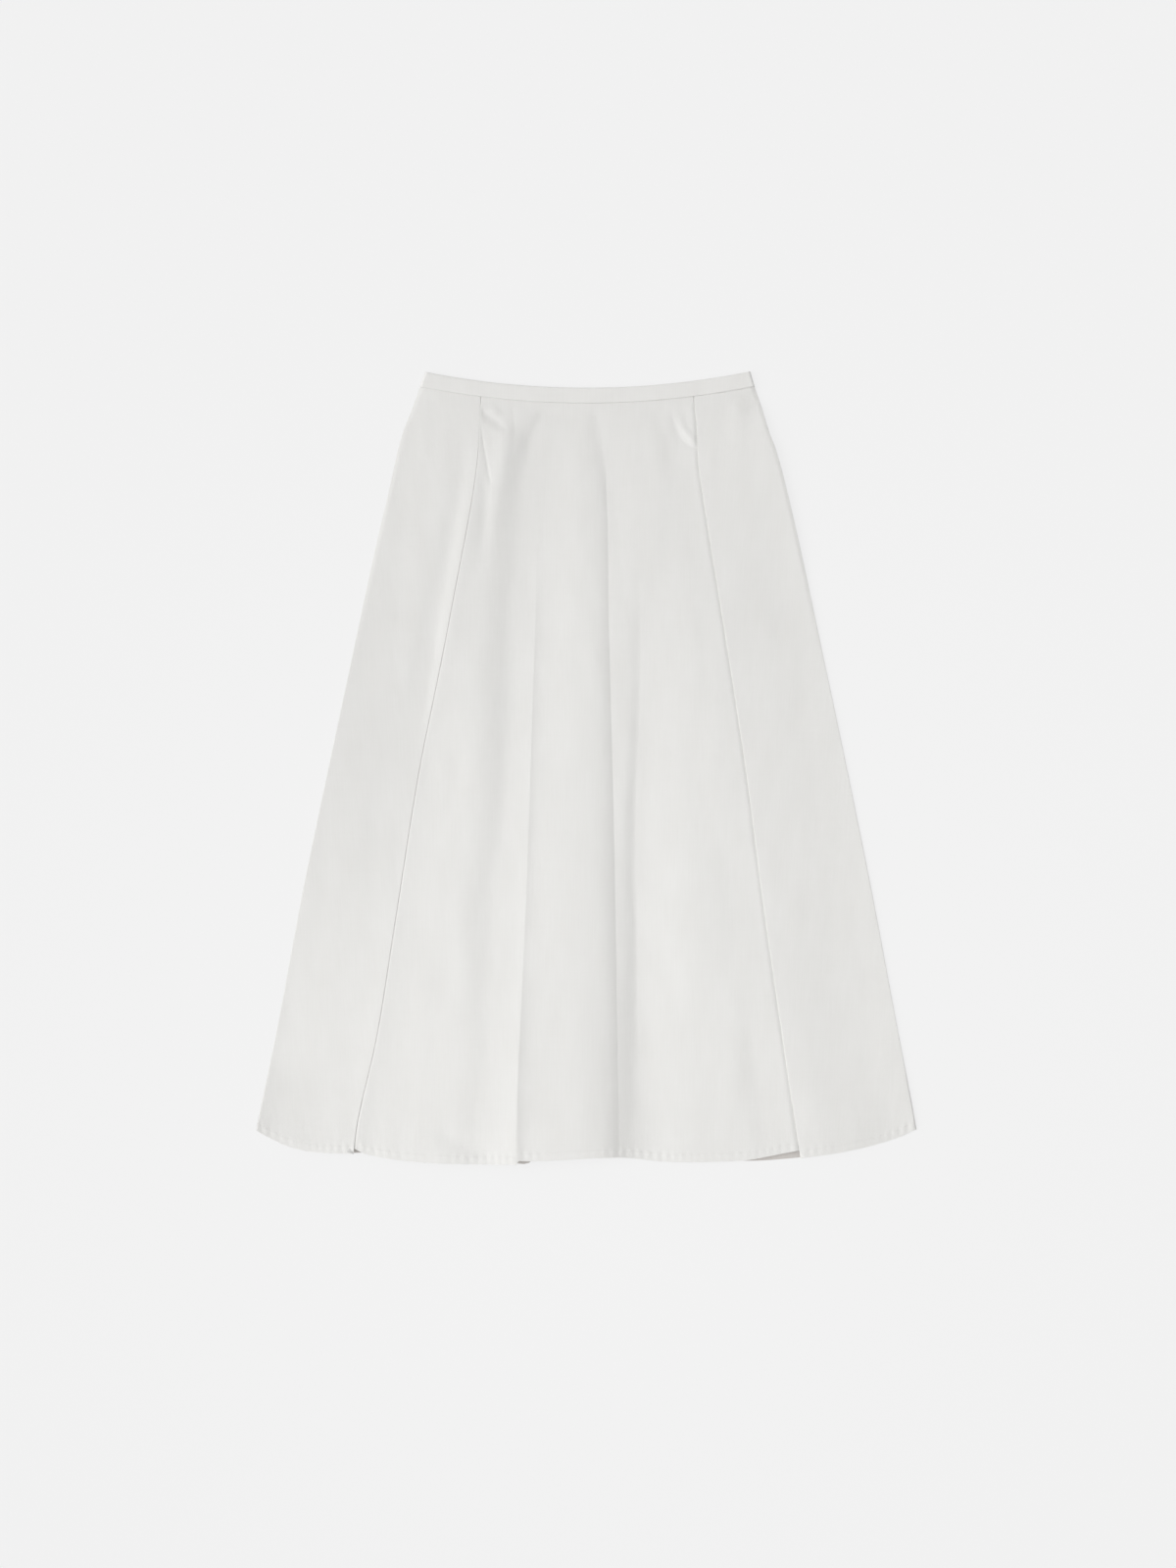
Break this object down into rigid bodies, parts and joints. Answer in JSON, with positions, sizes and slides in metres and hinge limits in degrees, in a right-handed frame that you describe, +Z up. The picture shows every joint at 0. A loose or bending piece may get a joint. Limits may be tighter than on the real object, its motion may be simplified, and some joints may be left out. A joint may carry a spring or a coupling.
{
  "type": "flared skirt",
  "caption": "Flared midi skirt laid flat with its front up: two soft front pleats, a narrow waistband and a turned-up, stitched hem.",
  "frame": {"origin": "middle of the skirt's outline as it lies, on the surface that it lies on", "axes": "+X across the skirt, +Y from the hem to the waist, +Z up from the surface through the back to the front"},
  "size_m": [0.697, 0.8367, 0.0181],
  "materials": {
    "skirt_cloth": "warm white woven cotton, matt, with fine upright slubs",
    "waistband_cloth": "the same warm white cotton, doubled over a firm interlining",
    "sewing_thread": "white spun sewing thread"
  },
  "bodies": {
    "root": {"front_panel": "skirt_cloth", "back_panel_left": "skirt_cloth", "back_panel_right": "skirt_cloth", "waistband_front": "waistband_cloth", "waistband_back_left": "waistband_cloth", "waistband_back_right": "waistband_cloth"}
  },
  "joints": []
}
